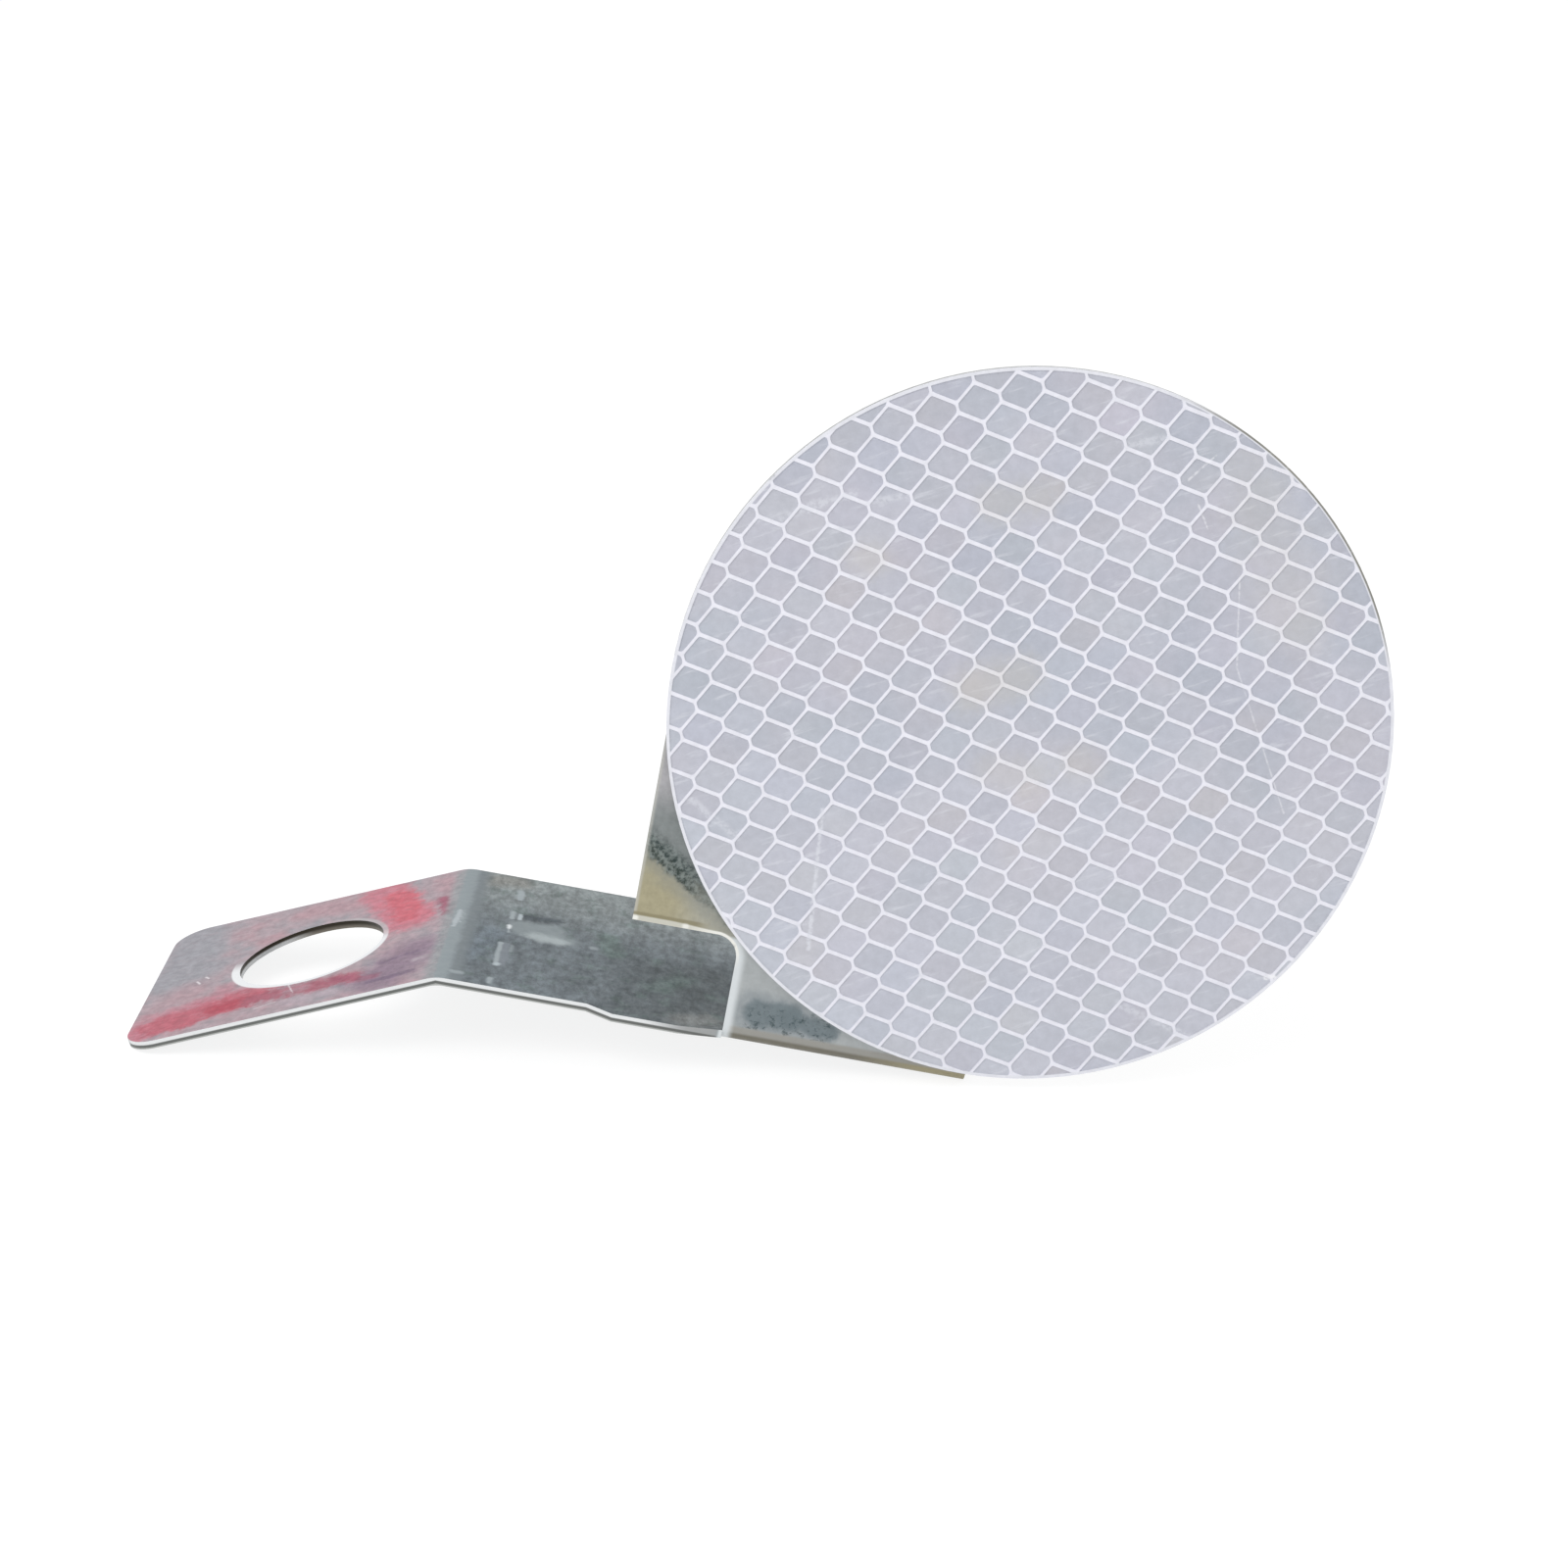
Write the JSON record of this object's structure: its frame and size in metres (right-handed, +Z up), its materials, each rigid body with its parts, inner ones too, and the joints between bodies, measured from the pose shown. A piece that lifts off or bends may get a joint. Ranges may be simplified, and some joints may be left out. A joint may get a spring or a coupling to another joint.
{
  "type": "reflective driveway marker",
  "caption": "Round reflective marker on a folded galvanised bracket, with a bolt hole in its angled tab and honeycomb sheeting on its face.",
  "frame": {"origin": "on the bolt hole's axis, at the upper face of the tab", "axes": "+X along the strip from the tab to the disc, level in the resting pose, +Y back from the disc's face, +Z up"},
  "size_m": [0.1772, 0.0474, 0.1014],
  "materials": {
    "galvanised_steel": "hot-dip galvanised, spangled and worn, with smears of red paint on the tab",
    "aluminium_plate": "mill finish",
    "sheeting": "white honeycomb lines on silver-lilac cells, lightly scratched",
    "rivet_metal": "satin"
  },
  "bodies": {
    "root": {"bracket": "galvanised_steel", "disc_plate": "aluminium_plate", "reflective_sheet": "sheeting", "rivet_left": "rivet_metal", "rivet_right": "rivet_metal"}
  },
  "joints": []
}
